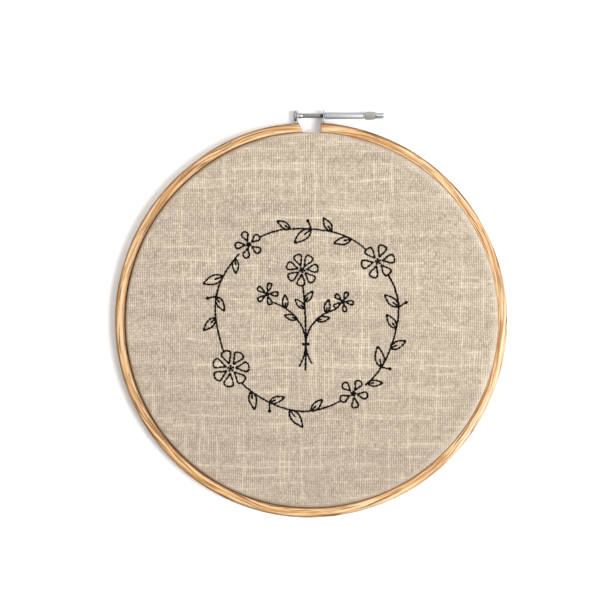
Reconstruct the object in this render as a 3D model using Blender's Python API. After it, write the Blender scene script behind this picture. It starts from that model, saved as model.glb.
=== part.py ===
"""Embroidered cloth held in a wooden screw hoop, lying on its back.

+Z is the way the face of the cloth looks, and +Y points from the middle of the hoop to its
tension screw. The origin is the middle of the underside of the whole thing's box.
Every length is in metres. The hoop is drawn round its own middle and moved into place last.
"""

import math

import bmesh
import bpy
from mathutils import Matrix, Vector

MM = 0.001
SEAT_GAP = 0.3 * MM
RUNNING_GAP = 0.08 * MM

# Wooden rings
HOOP_DIAMETER = 256 * MM
OUTER_THICKNESS = 6.8 * MM
INNER_THICKNESS = 5.6 * MM
RING_DEPTH = 10 * MM
RING_ROUNDING = 1.8 * MM

# Opening of the outer ring: where its two ends stand, on their inner and outer corner
LEFT_END = {"inner_x": -4.3 * MM, "outer_x": -6.8 * MM}
RIGHT_END = {"inner_x": 7.2 * MM, "outer_x": 7.0 * MM}
END_ROUNDING = 0.9 * MM

# Cloth
CLOTH_THICKNESS = 1.0 * MM
CLOTH_TRIM_ABOVE_BACK = 0.8 * MM
CLOTH_BEND_STEPS = 4

# Brackets of pressed sheet metal, one on each end of the outer ring
PLATE_THICKNESS = 0.7 * MM
EAR_WIDTH = 7.4 * MM
EAR_CORNER = 3.2 * MM
FOOT_LENGTH = 14 * MM
PRONG_DEPTH = 3.0 * MM
PRONG_WIDTH = 3.4 * MM

# Tension screw and its long nut, on one axis along X
AXIS_ABOVE_RING = 4.8 * MM
HEAD_LEFT_X = -10.7 * MM
HEAD_DIAMETER = 7.0 * MM
HEAD_THICKNESS = 2.1 * MM
HEAD_DOME_RISE = 1.15 * MM
NECK_DIAMETER = 3.5 * MM
NECK_LENGTH = 2.4 * MM
NECK_TAPER = 2.2 * MM
SHANK_DIAMETER = 2.8 * MM
SHANK_END_X = 24.5 * MM
SHANK_CHAMFER = 0.5 * MM
RIGHT_PLATE_X = 8.7 * MM
BORE_DEPTH = 18 * MM
DRIVER_SLOT_WIDTH = 1.0 * MM
DRIVER_SLOT_DEPTH = 0.8 * MM
TIP_SLOT_DEPTH = 4.2 * MM
GRIP_FLAT_START = 26.7 * MM
GRIP_FLAT_LENGTH = 7.2 * MM
GRIP_FLAT_FROM_AXIS = 1.95 * MM
GRIP_FLAT_TILT = math.radians(24)

# Outline of the nut from its bearing end: length along the axis and radius
NUT_OUTLINE = (
    {"at": 0.0 * MM, "radius": 1.95 * MM},
    {"at": 0.3 * MM, "radius": 2.1 * MM},
    {"at": 24.6 * MM, "radius": 2.1 * MM},
    {"at": 25.0 * MM, "radius": 1.7 * MM},
    {"at": 25.9 * MM, "radius": 1.7 * MM},
    {"at": 26.4 * MM, "radius": 2.45 * MM},
    {"at": 28.0 * MM, "radius": 2.75 * MM},
    {"at": 30.5 * MM, "radius": 2.7 * MM},
    {"at": 32.8 * MM, "radius": 2.3 * MM},
    {"at": 34.0 * MM, "radius": 1.9 * MM},
    {"at": 38.1 * MM, "radius": 1.9 * MM},
    {"at": 38.4 * MM, "radius": 1.7 * MM},
)

# Steps of the round shapes
RING_STEPS = 96
ROUNDING_STEPS = 3
FOOT_STEPS = 4
HARDWARE_STEPS = 28
DOME_STEPS = 4
EAR_CORNER_STEPS = 5
END_ROUNDING_STEPS = 2

# How far a cutter reaches past what it cuts
CUTTER_REACH = 1 * MM

# Worked out from the sizes above
HOOP_RADIUS = HOOP_DIAMETER / 2
OUTER_BORE_RADIUS = HOOP_RADIUS - OUTER_THICKNESS
SKIRT_RADIUS = OUTER_BORE_RADIUS - SEAT_GAP
INNER_RADIUS = SKIRT_RADIUS - CLOTH_THICKNESS - SEAT_GAP
AXIS_Y = HOOP_RADIUS + AXIS_ABOVE_RING
AXIS_Z = RING_DEPTH / 2
HEAD_SEAT_X = HEAD_LEFT_X + HEAD_THICKNESS
LEFT_PLATE_X = HEAD_SEAT_X + SEAT_GAP + PLATE_THICKNESS
NUT_LEFT_X = RIGHT_PLATE_X + PLATE_THICKNESS + SEAT_GAP
BORE_DIAMETER = SHANK_DIAMETER + 2 * RUNNING_GAP
NUT_LENGTH = NUT_OUTLINE[-1]["at"]
EAR_TOP_Y = AXIS_Y + EAR_WIDTH / 2
HOOP_SHIFT_Y = (HOOP_RADIUS - EAR_TOP_Y) / 2


def remove_everything():
    for thing in list(bpy.data.objects):
        bpy.data.objects.remove(thing)


def make_material(name, colour, roughness, metallic=0.0):
    material = bpy.data.materials.new(name)
    material.use_nodes = True
    shader = material.node_tree.nodes["Principled BSDF"]
    shader.inputs["Base Color"].default_value = (*colour, 1.0)
    shader.inputs["Roughness"].default_value = roughness
    shader.inputs["Metallic"].default_value = metallic
    return material


def to_object(bm, name, material=None):
    """Closes the bmesh into a named object with its faces pointing out."""
    bmesh.ops.recalc_face_normals(bm, faces=bm.faces)
    mesh = bpy.data.meshes.new(name)
    bm.to_mesh(mesh)
    bm.free()
    mesh.shade_smooth()
    mesh.set_sharp_from_angle(angle=math.radians(35))
    thing = bpy.data.objects.new(name, mesh)
    bpy.context.scene.collection.objects.link(thing)
    if material:
        mesh.materials.append(material)
    return thing


def make_cutter(bm, name):
    cutter = to_object(bm, name)
    cutter.hide_render = True
    cutter.display_type = "WIRE"
    return cutter


def add_boolean(thing, other, operation="DIFFERENCE"):
    modifier = thing.modifiers.new(other.name, "BOOLEAN")
    modifier.operation = operation
    modifier.object = other


def arc_points(centre, radius, start, end, steps):
    """Points on an arc in a plane, from one angle to the other."""
    angles = [start + (end - start) * i / steps for i in range(steps + 1)]
    return [(centre[0] + radius * math.cos(a), centre[1] + radius * math.sin(a)) for a in angles]


def rounded_section(inner, outer, low, high, rounding):
    """Closed outline of a ring's wood, as points of radius and height."""
    corners = (
        (outer - rounding, high - rounding, 0.0),
        (inner + rounding, high - rounding, 0.5),
        (inner + rounding, low + rounding, 1.0),
        (outer - rounding, low + rounding, 1.5),
    )
    points = []
    for r, z, quarter in corners:
        start = quarter * math.pi
        points += arc_points((r, z), rounding, start, start + math.pi / 2, ROUNDING_STEPS)
    return points


def spin_outline(points, place, axis, closed, steps, sweep=math.tau):
    """Spins an outline about an axis through the origin, once place has put its points in 3D."""
    bm = bmesh.new()
    verts = [bm.verts.new(place(*p)) for p in points]
    pairs = list(zip(verts, verts[1:]))
    if closed:
        pairs.append((verts[-1], verts[0]))
    edges = [bm.edges.new(pair) for pair in pairs]
    full = abs(sweep - math.tau) < 1e-9
    bmesh.ops.spin(
        bm, geom=verts + edges, cent=(0, 0, 0), axis=axis, angle=sweep, steps=steps, use_merge=full
    )
    bmesh.ops.remove_doubles(bm, verts=bm.verts, dist=0.002 * MM)
    return bm


def box_mesh(low, high):
    """A bmesh box between two corners."""
    low, high = Vector(low), Vector(high)
    bm = bmesh.new()
    bmesh.ops.create_cube(bm, size=1.0)
    bmesh.ops.scale(bm, vec=high - low, verts=bm.verts)
    bmesh.ops.translate(bm, vec=(low + high) / 2, verts=bm.verts)
    return bm


def rod_mesh(length, diameter):
    """A bmesh rod along X, round the origin."""
    bm = bmesh.new()
    bmesh.ops.create_cone(
        bm,
        cap_ends=True,
        segments=HARDWARE_STEPS,
        radius1=diameter / 2,
        radius2=diameter / 2,
        depth=length,
        matrix=Matrix.Rotation(math.pi / 2, 4, "Y"),
    )
    return bm


def turned_mesh(points):
    """A bmesh turned round the X axis, from points of x and radius."""
    return spin_outline(points, lambda x, r: (x, r, 0), (1, 0, 0), False, HARDWARE_STEPS)


def put_on_screw_axis(thing, x=0.0):
    thing.location = (x, AXIS_Y, AXIS_Z)
    return thing


def end_angle(end):
    """Angle from +X of the middle of one end of the outer ring."""
    middle_x = (end["inner_x"] + end["outer_x"]) / 2
    return math.acos(middle_x / (HOOP_RADIUS - OUTER_THICKNESS / 2))


def set_end(verts, end):
    """Moves a ring's end section onto its saw cut, which may run at a slant."""
    for v in verts:
        radius = math.hypot(v.co.x, v.co.y)
        share = (radius - OUTER_BORE_RADIUS) / OUTER_THICKNESS
        v.co.x = end["inner_x"] + (end["outer_x"] - end["inner_x"]) * share
        v.co.y = math.sqrt(radius**2 - v.co.x**2)


def make_outer_ring(wood):
    """The open outer ring, with rounded edges and a slot for each bracket's prong."""
    section = rounded_section(OUTER_BORE_RADIUS, HOOP_RADIUS, 0.0, RING_DEPTH, RING_ROUNDING)
    start, end = end_angle(LEFT_END), end_angle(RIGHT_END) + math.tau
    cos_start, sin_start = math.cos(start), math.sin(start)
    bm = spin_outline(
        section,
        lambda r, z: (r * cos_start, r * sin_start, z),
        (0, 0, 1),
        True,
        RING_STEPS - 2,
        end - start,
    )
    open_edges = [e for e in bm.edges if e.is_boundary]
    open_verts = {v for e in open_edges for v in e.verts}
    set_end([v for v in open_verts if v.co.x < 0], LEFT_END)
    set_end([v for v in open_verts if v.co.x > 0], RIGHT_END)
    caps = bmesh.ops.holes_fill(bm, edges=open_edges, sides=0)["faces"]
    bmesh.ops.bevel(
        bm,
        geom=[e for cap in caps for e in cap.edges],
        offset=END_ROUNDING,
        segments=END_ROUNDING_STEPS,
        profile=0.5,
        affect="EDGES",
        material=-1,
    )
    ring = to_object(bm, "outer_ring", wood)
    for side, name in ((-1, "left_prong_slot"), (1, "right_prong_slot")):
        slot = prong_mesh(side, SEAT_GAP, PRONG_DEPTH + SEAT_GAP)
        add_boolean(ring, make_cutter(slot, name))
    return ring


def make_inner_ring(wood):
    section = rounded_section(
        INNER_RADIUS - INNER_THICKNESS, INNER_RADIUS, 0.0, RING_DEPTH, RING_ROUNDING
    )
    bm = spin_outline(section, lambda r, z: (r, 0, z), (0, 0, 1), True, RING_STEPS)
    return to_object(bm, "inner_ring", wood)


def make_cloth(linen):
    """Taut cloth over the inner ring and down between the rings, trimmed just above the back."""
    under = RING_DEPTH + SEAT_GAP
    top = under + CLOTH_THICKNESS
    inside = SKIRT_RADIUS - CLOTH_THICKNESS
    inner_bend = RING_ROUNDING + SEAT_GAP
    outer_bend = inner_bend + CLOTH_THICKNESS
    bend_centre = (inside - inner_bend, under - inner_bend)
    outline = [(0.0, top)]
    outline += arc_points(bend_centre, outer_bend, math.pi / 2, 0.0, CLOTH_BEND_STEPS)
    outline += [(SKIRT_RADIUS, CLOTH_TRIM_ABOVE_BACK), (inside, CLOTH_TRIM_ABOVE_BACK)]
    outline += arc_points(bend_centre, inner_bend, 0.0, math.pi / 2, CLOTH_BEND_STEPS)
    outline += [(0.0, under)]
    bm = spin_outline(outline, lambda r, z: (r, 0, z), (0, 0, 1), False, RING_STEPS)
    return to_object(bm, "cloth", linen)


def foot_angles(side):
    """Angles of the bracket's bend and of the far end of its foot, on the ring's outside."""
    plate_x = LEFT_PLATE_X if side < 0 else RIGHT_PLATE_X
    bend = math.acos(plate_x / (HOOP_RADIUS + SEAT_GAP))
    return bend, bend - side * FOOT_LENGTH / HOOP_RADIUS


def prong_mesh(side, around=0.0, depth=PRONG_DEPTH):
    """The prong at the far end of a bracket's foot, or with a gap around it, its slot."""
    angle = foot_angles(side)[1]
    bm = box_mesh(
        (HOOP_RADIUS - depth, -PLATE_THICKNESS / 2 - around, AXIS_Z - PRONG_WIDTH / 2 - around),
        (
            HOOP_RADIUS + SEAT_GAP + PLATE_THICKNESS / 2,
            PLATE_THICKNESS / 2 + around,
            AXIS_Z + PRONG_WIDTH / 2 + around,
        ),
    )
    inboard = angle + side * PLATE_THICKNESS / 2 / HOOP_RADIUS
    bmesh.ops.rotate(bm, verts=bm.verts, cent=(0, 0, 0), matrix=Matrix.Rotation(inboard, 3, "Z"))
    return bm


def make_bracket(name, side, hole_diameter, metal):
    """A bent plate: a foot along the ring's outside, a prong into it and an ear for the screw."""
    bend, far_end = foot_angles(side)
    under_radius = HOOP_RADIUS + SEAT_GAP
    over_radius = under_radius + PLATE_THICKNESS
    inner_x = LEFT_PLATE_X if side < 0 else RIGHT_PLATE_X
    outer_x = inner_x + side * PLATE_THICKNESS
    over_bend = math.acos(outer_x / over_radius)
    outline = arc_points((0, 0), under_radius, bend, far_end, FOOT_STEPS)
    outline += arc_points((0, 0), over_radius, far_end, over_bend, FOOT_STEPS)
    outline += [(outer_x, EAR_TOP_Y), (inner_x, EAR_TOP_Y)]

    bm = bmesh.new()
    face = bm.faces.new([bm.verts.new((x, y, AXIS_Z - EAR_WIDTH / 2)) for x, y in outline])
    extruded = bmesh.ops.extrude_face_region(bm, geom=[face])["geom"]
    lifted = [v for v in extruded if isinstance(v, bmesh.types.BMVert)]
    bmesh.ops.translate(bm, vec=(0, 0, EAR_WIDTH), verts=lifted)
    top_edges = [e for e in bm.edges if all(v.co.y > EAR_TOP_Y - SEAT_GAP for v in e.verts)]
    bmesh.ops.bevel(
        bm,
        geom=[e for e in top_edges if abs(e.verts[0].co.x - e.verts[1].co.x) > SEAT_GAP],
        offset=EAR_CORNER,
        segments=EAR_CORNER_STEPS,
        profile=0.5,
        affect="EDGES",
        material=-1,
    )
    bracket = to_object(bm, name, metal)
    add_boolean(bracket, make_cutter(prong_mesh(side), name + "_prong"), "UNION")
    drill = make_cutter(rod_mesh(PLATE_THICKNESS + 2 * CUTTER_REACH, hole_diameter), name + "_drill")
    put_on_screw_axis(drill, (inner_x + outer_x) / 2)
    add_boolean(bracket, drill)
    return bracket


def make_screw(metal):
    """Domed head with a driver slot, a tapered neck and a plain shank of the thread's mean size."""
    turns = [math.pi / 2 * i / DOME_STEPS for i in range(DOME_STEPS + 1)]
    rim_x = HEAD_LEFT_X + HEAD_DOME_RISE
    dome = [(rim_x - HEAD_DOME_RISE * math.cos(t), HEAD_DIAMETER / 2 * math.sin(t)) for t in turns]
    neck_end_x = HEAD_SEAT_X + NECK_LENGTH
    outline = dome + [
        (HEAD_SEAT_X, HEAD_DIAMETER / 2),
        (HEAD_SEAT_X, NECK_DIAMETER / 2),
        (neck_end_x, NECK_DIAMETER / 2),
        (neck_end_x + NECK_TAPER, SHANK_DIAMETER / 2),
        (SHANK_END_X - SHANK_CHAMFER, SHANK_DIAMETER / 2),
        (SHANK_END_X, SHANK_DIAMETER / 2 - SHANK_CHAMFER),
        (SHANK_END_X, 0.0),
    ]
    screw = put_on_screw_axis(to_object(turned_mesh(outline), "tension_screw", metal))
    slot = box_mesh(
        (HEAD_LEFT_X - CUTTER_REACH, -HEAD_DIAMETER, -DRIVER_SLOT_WIDTH / 2),
        (HEAD_LEFT_X + DRIVER_SLOT_DEPTH, HEAD_DIAMETER, DRIVER_SLOT_WIDTH / 2),
    )
    add_boolean(screw, put_on_screw_axis(make_cutter(slot, "head_slot")))
    return screw


def make_nut(metal):
    """Long nut: a bored barrel, a groove, a thumb grip with two flats and a slotted tip."""
    outline = [(BORE_DEPTH, 0.0), (BORE_DEPTH, BORE_DIAMETER / 2), (0.0, BORE_DIAMETER / 2)]
    outline += [(row["at"], row["radius"]) for row in NUT_OUTLINE]
    outline += [(NUT_LENGTH, 0.0)]
    nut = put_on_screw_axis(to_object(turned_mesh(outline), "tension_nut", metal), NUT_LEFT_X)
    widest = max(row["radius"] for row in NUT_OUTLINE) + CUTTER_REACH
    turn = Matrix.Rotation(GRIP_FLAT_TILT, 3, "X")
    for side, name in ((1, "front_flat"), (-1, "back_flat")):
        near, far = sorted((side * GRIP_FLAT_FROM_AXIS, side * widest))
        flat = box_mesh(
            (GRIP_FLAT_START, -widest, near), (GRIP_FLAT_START + GRIP_FLAT_LENGTH, widest, far)
        )
        bmesh.ops.rotate(flat, verts=flat.verts, cent=(0, 0, 0), matrix=turn)
        add_boolean(nut, put_on_screw_axis(make_cutter(flat, name), NUT_LEFT_X))
    slot = box_mesh(
        (NUT_LENGTH - TIP_SLOT_DEPTH, -DRIVER_SLOT_WIDTH / 2, -widest),
        (NUT_LENGTH + CUTTER_REACH, DRIVER_SLOT_WIDTH / 2, widest),
    )
    add_boolean(nut, put_on_screw_axis(make_cutter(slot, "tip_slot"), NUT_LEFT_X))
    return nut


def main():
    remove_everything()
    wood = make_material("varnished_wood", (0.80, 0.52, 0.25), 0.42)
    linen = make_material("linen", (0.66, 0.56, 0.44), 0.92)
    zinc = make_material("zinc_plated_steel", (0.62, 0.64, 0.66), 0.3, 1.0)

    make_outer_ring(wood)
    make_inner_ring(wood)
    make_cloth(linen)
    make_bracket("bracket_left", -1, NECK_DIAMETER + 2 * SEAT_GAP, zinc)
    make_bracket("bracket_right", 1, SHANK_DIAMETER + 2 * SEAT_GAP, zinc)
    make_screw(zinc)
    make_nut(zinc)

    for thing in bpy.context.scene.objects:
        thing.location.y += HOOP_SHIFT_Y


main()
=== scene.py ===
"""Dresses an embroidered cloth in a wooden screw hoop, laid out as a Blender add-on.

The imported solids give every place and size. Each visible piece is a finer mesh drawn round the
middle of the hoop, or along the axis of its screw, and then moved onto the solid it stands for.
Lengths are in metres.
"""

import math
import random

import bmesh
import bpy
from bpy.props import FloatProperty, FloatVectorProperty, IntProperty, PointerProperty
from mathutils import Matrix, Vector, noise


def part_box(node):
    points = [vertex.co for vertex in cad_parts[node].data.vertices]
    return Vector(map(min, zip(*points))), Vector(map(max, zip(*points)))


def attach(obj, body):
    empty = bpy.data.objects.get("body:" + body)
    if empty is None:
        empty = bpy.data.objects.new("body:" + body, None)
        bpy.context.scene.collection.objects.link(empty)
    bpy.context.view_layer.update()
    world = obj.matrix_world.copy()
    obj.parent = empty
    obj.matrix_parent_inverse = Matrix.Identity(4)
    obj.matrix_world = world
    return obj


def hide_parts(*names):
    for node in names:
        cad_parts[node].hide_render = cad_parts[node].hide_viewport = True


bl_info = {
    "name": "Embroidery Hoop",
    "version": (1, 0, 0),
    "blender": (4, 5, 0),
    "location": "3D View > Sidebar > Hoop",
    "description": "Makes an embroidered cloth in a wooden screw hoop",
    "category": "Object",
}

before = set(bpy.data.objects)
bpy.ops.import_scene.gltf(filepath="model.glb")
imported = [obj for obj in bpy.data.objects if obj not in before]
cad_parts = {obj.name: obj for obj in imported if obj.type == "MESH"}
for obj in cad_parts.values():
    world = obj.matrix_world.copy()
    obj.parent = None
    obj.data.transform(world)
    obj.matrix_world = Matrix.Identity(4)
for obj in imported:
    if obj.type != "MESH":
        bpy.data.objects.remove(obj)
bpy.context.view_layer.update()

MM = 0.001

# Places that the solids give
OUTER_LOW, OUTER_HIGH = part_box("outer_ring")
INNER_LOW, INNER_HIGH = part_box("inner_ring")
CLOTH_LOW, CLOTH_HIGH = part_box("cloth")
SCREW_LOW, SCREW_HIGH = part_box("tension_screw")
NUT_LOW, NUT_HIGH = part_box("tension_nut")
LEFT_EAR_LOW, LEFT_EAR_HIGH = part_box("bracket_left")
RIGHT_EAR_LOW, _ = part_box("bracket_right")

HOOP_MIDDLE = Vector(((INNER_LOW.x + INNER_HIGH.x) / 2, (INNER_LOW.y + INNER_HIGH.y) / 2, 0.0))
HOOP_RADIUS = (OUTER_HIGH.x - OUTER_LOW.x) / 2
RING_TOP = OUTER_HIGH.z
INNER_RADIUS = (INNER_HIGH.x - INNER_LOW.x) / 2
SKIRT_RADIUS = (CLOTH_HIGH.x - CLOTH_LOW.x) / 2
SCREW_AXIS = Vector((0.0, (SCREW_LOW.y + SCREW_HIGH.y) / 2, (SCREW_LOW.z + SCREW_HIGH.z) / 2))
EAR_TOP = LEFT_EAR_HIGH.y
EAR_WIDTH = LEFT_EAR_HIGH.z - LEFT_EAR_LOW.z

# Wooden rings
OUTER_THICKNESS = 6.4 * MM
INNER_THICKNESS = 5.6 * MM
WOOD_ROUNDING = 1.8 * MM
INNER_ARRIS = 0.7 * MM
WOOD_CROWN = 0.2 * MM
INNER_CROWN = 0.45 * MM
WOOD_WANDER = 0.22 * MM
BRACKETS_REACH = 0.15  # angle either side of the top, in radians
WANDER_FADE = 0.3
FLATTENING = 0.0145
FLATTENED_AT = math.radians(168)
FLATTENING_FALL = 1.4
FLATTENING_START = 1.85  # angle from +X, past the left foot
FLATTENING_FADE = 0.35
SKEW = 1.4 * MM
GAP_AT_LEFT = 0.9 * MM
LEFT_END = {"inner_x": -4.3 * MM, "outer_x": -6.8 * MM}
RIGHT_END = {"inner_x": 7.2 * MM, "outer_x": 7.0 * MM}
END_ROUNDING = 0.8 * MM
RING_STEPS = 320
CORNER_STEPS = 8

# Cloth
FACE_TOP = CLOTH_HIGH.z - 0.2 * MM
SKIRT_OUTSIDE = SKIRT_RADIUS + 0.55 * MM
SHOULDER_WIDTH = 2.6 * MM
SHOULDER_DROP = 1.05 * MM
SHOULDER_REACH = 0.4 * MM
RIM_RIDGE = 0.45 * MM
PUCKER_HEIGHT = 0.16 * MM
PUCKER_REACH = 16 * MM
CLOTH_STEPS = 288
FACE_RINGS = 40
SKIRT_STEPS = 7
SKIRT_BOTTOM = CLOTH_LOW.z + 0.3 * MM
CUT_EDGE_WANDER = 0.5 * MM
CUT_EDGE_BAND = 2.5 * MM
CUT_EDGE_SPAN = 7 * MM
SLACK_HEIGHT = 0.12 * MM
SLACK_SPAN = 45 * MM
SKEW_FROM_Z = 5 * MM
SKEW_FADE = 3.5 * MM
INNER_HOOP_INSET = 0.75 * MM

# Stitched wreath
WREATH_MIDDLE = Vector((-2.5 * MM, 1.5 * MM))
STITCH_SIDES = 8
STITCH_RINGS = 6
STITCH_JITTER = 0.09 * MM
STITCH_OVERLAP = 1.1
STITCH_FLATNESS = 0.62
KNOT_WIDTH = 1.75
LEAF_STEPS = 14
PETAL_STEPS = 20

# Sheet metal and turned hardware
PLATE_THICKNESS = 0.7 * MM
EAR_CORNER = 3.2 * MM
BEND_RADIUS = 0.9 * MM
FOOT_LENGTH = 14 * MM
HOLE_GAP = 0.3 * MM
FOOT_START = 7.6 * MM
FOOT_SINK = 0.8 * MM
FOOT_LIFT = 0.04 * MM
FOOT_WIDTH = 5.6 * MM
GROOVE_ROOM = 0.1 * MM
EAR_FLARE = 1.0 * MM
PRONG_DEPTH = 2.6 * MM
PRONG_WIDTH = 3.4 * MM
HARDWARE_STEPS = 64
SHEET_BRUSHING = 300
TURNED_BRUSHING = 900
HEAD_THICKNESS = 2.1 * MM
HEAD_RIM = 0.95 * MM
NECK_RADIUS = 1.75 * MM
NECK_LENGTH = 2.4 * MM
NECK_TAPER = 2.2 * MM
SHANK_RADIUS = 1.32 * MM
CREST_RADIUS = 1.56 * MM
BARREL_RADIUS = 2.1 * MM
BARREL_LENGTH = 24.9 * MM
BORE_RADIUS = 1.6 * MM
BORE_DEPTH = 18 * MM
COLLAR_START = 24.9 * MM
GRIP_START = 26.1 * MM
GRIP_LENGTH = 8.0 * MM
GRIP_FLAT_FROM_AXIS = 1.95 * MM
GRIP_FLAT_TILT = math.radians(24)
TIP_RADIUS = 1.9 * MM
SLOT_WIDTH = 0.7 * MM
TIP_SLOT_DEPTH = 4.2 * MM
HEAD_SLOT_DEPTH = 0.8 * MM

# The photograph's frame
PHOTO_SIDE = 600
HOOP_MIDDLE_PIXEL = (309.8, 320.1)
HOOP_RADIUS_PIXELS = 197.55
LENS = 85.0
SENSOR = 36.0


class Value:
    """A socket of a node tree. Python's operators on it add Math nodes."""

    def __init__(self, nodes, socket):
        self.nodes = nodes
        self.socket = socket

    def math(self, operation, *others):
        inputs = {i: v for i, v in enumerate((self, *others))}
        return self.nodes.node("ShaderNodeMath", {"operation": operation}, inputs)

    def reflected(self, operation, other):
        return self.nodes.node("ShaderNodeMath", {"operation": operation}, {0: other, 1: self})

    def __add__(self, other):
        return self.math("ADD", other)

    def __radd__(self, other):
        return self.math("ADD", other)

    def __sub__(self, other):
        return self.math("SUBTRACT", other)

    def __rsub__(self, other):
        return self.reflected("SUBTRACT", other)

    def __mul__(self, other):
        return self.math("MULTIPLY", other)

    def __rmul__(self, other):
        return self.math("MULTIPLY", other)

    def __truediv__(self, other):
        return self.math("DIVIDE", other)

    def __pow__(self, other):
        return self.math("POWER", other)

    def at_least(self, other):
        return self.math("MAXIMUM", other)

    def sine(self):
        return self.math("SINE")

    def cosine(self):
        return self.math("COSINE")

    def between(self, low, high, to_low=0.0, to_high=1.0):
        """A smooth step from one level to another."""
        return self.nodes.node(
            "ShaderNodeMapRange",
            {"interpolation_type": "SMOOTHSTEP"},
            {"Value": self, "From Min": low, "From Max": high, "To Min": to_low, "To Max": to_high},
        )

    def within(self, low, high, fade_in, fade_out):
        """1 from one level to another, with a smooth fade after each."""
        return self.between(low, low + fade_in) * self.between(high, high + fade_out, 1.0, 0.0)


class Nodes:
    """A node tree and the few calls that build it."""

    def __init__(self, tree):
        self.tree = tree

    def node(self, kind, settings=None, inputs=None, output=0):
        """Any node: its settings first, then its sockets' values or links."""
        made = self.tree.nodes.new(kind)
        for name, value in (settings or {}).items():
            if name == "stops":
                self.set_stops(made.color_ramp, value)
            else:
                setattr(made, name, value)
        for key, value in (inputs or {}).items():
            self.feed(made.inputs[key], value)
        return Value(self, made.outputs[output])

    def set_stops(self, ramp, stops):
        while len(ramp.elements) > len(stops):
            ramp.elements.remove(ramp.elements[-1])
        while len(ramp.elements) < len(stops):
            ramp.elements.new(1.0)
        for element, (position, colour) in zip(ramp.elements, stops):
            element.position = position
            element.color = (*colour, 1.0)

    def feed(self, socket, value):
        if isinstance(value, Value):
            self.tree.links.new(value.socket, socket)
        else:
            socket.default_value = value

    def mix(self, factor, a, b, blend="MIX"):
        """A mix of two colours, which are triples or sockets."""
        rgba = [v if isinstance(v, Value) else (*v, 1.0) for v in (a, b)]
        return self.node(
            "ShaderNodeMix",
            {"data_type": "RGBA", "blend_type": blend},
            {0: factor, 6: rgba[0], 7: rgba[1]},
            output=2,
        )

    def parts(self, vector):
        made = self.tree.nodes.new("ShaderNodeSeparateXYZ")
        self.feed(made.inputs[0], vector)
        return [Value(self, output) for output in made.outputs]

    def vector(self, x, y, z=0.0):
        return self.node("ShaderNodeCombineXYZ", inputs={0: x, 1: y, 2: z})

    def noise(self, vector, scale=1.0, detail=2.0, roughness=0.5, dimensions="3D"):
        return self.node(
            "ShaderNodeTexNoise",
            {"noise_dimensions": dimensions},
            {"Vector": vector, "Scale": scale, "Detail": detail, "Roughness": roughness},
        )

    def bump(self, height, distance, strength):
        return self.node(
            "ShaderNodeBump", inputs={"Height": height, "Distance": distance, "Strength": strength}
        )


class Finish(Nodes):
    """A material built round its Principled shader."""

    def __init__(self, name):
        self.material = bpy.data.materials.new(name)
        self.material.use_nodes = True
        super().__init__(self.material.node_tree)
        self.shader = self.tree.nodes["Principled BSDF"]

    def set(self, **sockets):
        """Feeds the shader. Underscores stand for the spaces in a socket's name."""
        for name, value in sockets.items():
            self.feed(self.shader.inputs[name.replace("_", " ")], value)

    def object_place(self):
        """Object coordinates, measured from the middle of the hoop."""
        place = self.node("ShaderNodeTexCoord", output=3)
        return self.node("ShaderNodeMapping", inputs={"Vector": place, "Location": -HOOP_MIDDLE})


def wood_finish(name, colours, inner, outer, seed):
    """Varnished strip wood: grain that runs round the ring and drifts slowly across it."""
    finish = Finish(name)
    x, y, z = finish.parts(finish.object_place())
    from_middle = (x * x + y * y) ** 0.5
    along_x, along_y = x / from_middle, y / from_middle
    radius = finish.node("ShaderNodeAttribute", {"attribute_name": "round_radius"}, output=2)

    drift = finish.noise(finish.vector(along_x, along_y, seed), scale=1.5, detail=1.0)
    ripple = finish.noise(finish.vector(along_x * 6, along_y * 6, seed + 4), detail=1.0)
    lines = (radius + z * 0.8 + drift * 12 * MM + ripple * 1.6 * MM) / MM
    patches = finish.noise(finish.vector(along_x * 1.6, along_y * 1.6, seed + 20), detail=1.0)
    bands = finish.noise(
        finish.vector(along_x * 2.6, along_y * 2.6, lines * 0.95 + seed), detail=2.0, roughness=0.5
    )
    grain = finish.noise(
        finish.vector(along_x * 10, along_y * 10, lines * 2.6 + seed), detail=4.0, roughness=0.65
    )
    streak_field = finish.noise(
        finish.vector(along_x * 4, along_y * 4, lines * 1.2 + seed + 9), detail=1.0
    )
    streaks = streak_field.between(0.62, 0.66)
    tone = (bands - 0.5) * 2.7 + (grain - 0.5) * 1.7 + (patches - 0.5) * 0.6
    tone = tone + along_x * 0.03 + 0.525
    colour = finish.node(
        "ShaderNodeValToRGB",
        {"stops": (
            (0.10, colours.wood_grain),
            (0.34, colours.wood_mid),
            (0.52, colours.wood_light),
            (0.70, colours.wood_salmon),
            (0.90, colours.wood_pale),
        )},
        {0: tone},
    )
    flecks = grain.between(0.36, 0.42, 0.6, 0.0)
    dark = (streaks * grain.between(0.3, 0.55, 0.65, 1.0)).at_least(flecks)
    colour = finish.mix(dark, colour, colours.wood_dark)

    # The rounded outer edge and the inner edge beside the cloth are darkened, patchy with the grain:
    # partly the wood's own darker edges, partly painted shade, which is weaker on the right, where
    # the lamp is.
    from_top = z * -1 + RING_TOP
    edge_stain_and_shade = grain.between(0.25, 0.6, 0.3, 1.0)
    outer_arris = (from_top - radius + outer).between(1.15 * MM, 1.8 * MM, 0.85, 0.0)
    outer_arris = outer_arris * (along_x * 0.91 - along_y * 0.41).between(0.3, 0.8, 1.0, 0.3)
    inner_arris = (from_top + radius - inner).between(0.5 * MM, 0.85 * MM, 0.85, 0.0)
    inner_arris = inner_arris * along_x.between(0.7, 0.95, 1.0, 0.45)
    colour = finish.mix(outer_arris.at_least(inner_arris) * edge_stain_and_shade, colour, colours.wood_dark)
    finish.set(
        Base_Color=colour,
        Roughness=grain.between(0.2, 0.8, 0.34, 0.5),
        Coat_Weight=0.2,
        Coat_Roughness=0.25,
        Normal=finish.bump(grain * 0.7 - streaks * 0.5, 0.14 * MM, 0.5),
    )
    return finish.material


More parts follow.
